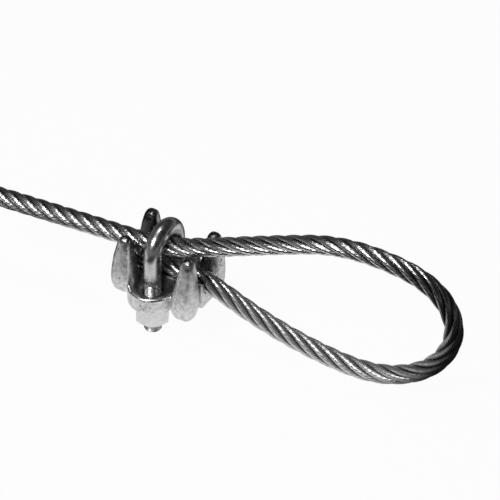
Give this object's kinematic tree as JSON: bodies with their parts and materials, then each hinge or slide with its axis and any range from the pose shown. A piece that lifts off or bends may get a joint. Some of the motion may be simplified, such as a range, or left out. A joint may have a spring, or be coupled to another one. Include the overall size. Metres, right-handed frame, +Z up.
{
  "type": "cable clamp",
  "caption": "U-bolt wire rope clip with a horned cast saddle and collar nuts, gripping a twisted steel rope turned back into a teardrop eye.",
  "frame": {"origin": "under the middle of the clip, at the level of the U-bolt's two free ends, on the surface that they and the rope eye stand on", "axes": "+X along the ropes towards the eye, +Y to the back, +Z up along the U-bolt's legs towards its bow"},
  "size_m": [0.3437, 0.0624, 0.1103],
  "materials": {
    "cast_zinc": "zinc plated malleable casting, dull with a few pits",
    "bolt_zinc": "bright zinc plated round steel",
    "nut_zinc": "zinc plated steel",
    "rope_wire": "galvanised wire strands, lightly oiled"
  },
  "bodies": {
    "clip": {"saddle": "cast_zinc", "wire_rope": "rope_wire"},
    "u_bolt": {"u_bolt": "bolt_zinc"},
    "front_nut": {"nut_front": "nut_zinc"},
    "rear_nut": {"nut_rear": "nut_zinc"}
  },
  "joints": [
    {"name": "front_nut_turn", "type": "hinge", "parent": "clip", "child": "front_nut", "pos_m": [-0.0028, -0.0147, 0.016], "axis": [0, 0, -1], "range_deg": [0, 1800]},
    {"name": "rear_nut_turn", "type": "hinge", "parent": "clip", "child": "rear_nut", "pos_m": [-0.0028, 0.0147, 0.016], "axis": [0, 0, -1], "range_deg": [0, 1800]},
    {"name": "bolt_lift", "type": "slide", "parent": "clip", "child": "u_bolt", "axis": [0, 0, 1], "range_m": [0, 0.00875]}
  ],
  "couplings": [
    {"joint": "front_nut_turn", "follows": "bolt_lift", "rad_per_m": 3590.4},
    {"joint": "rear_nut_turn", "follows": "bolt_lift", "rad_per_m": 3590.4}
  ]
}
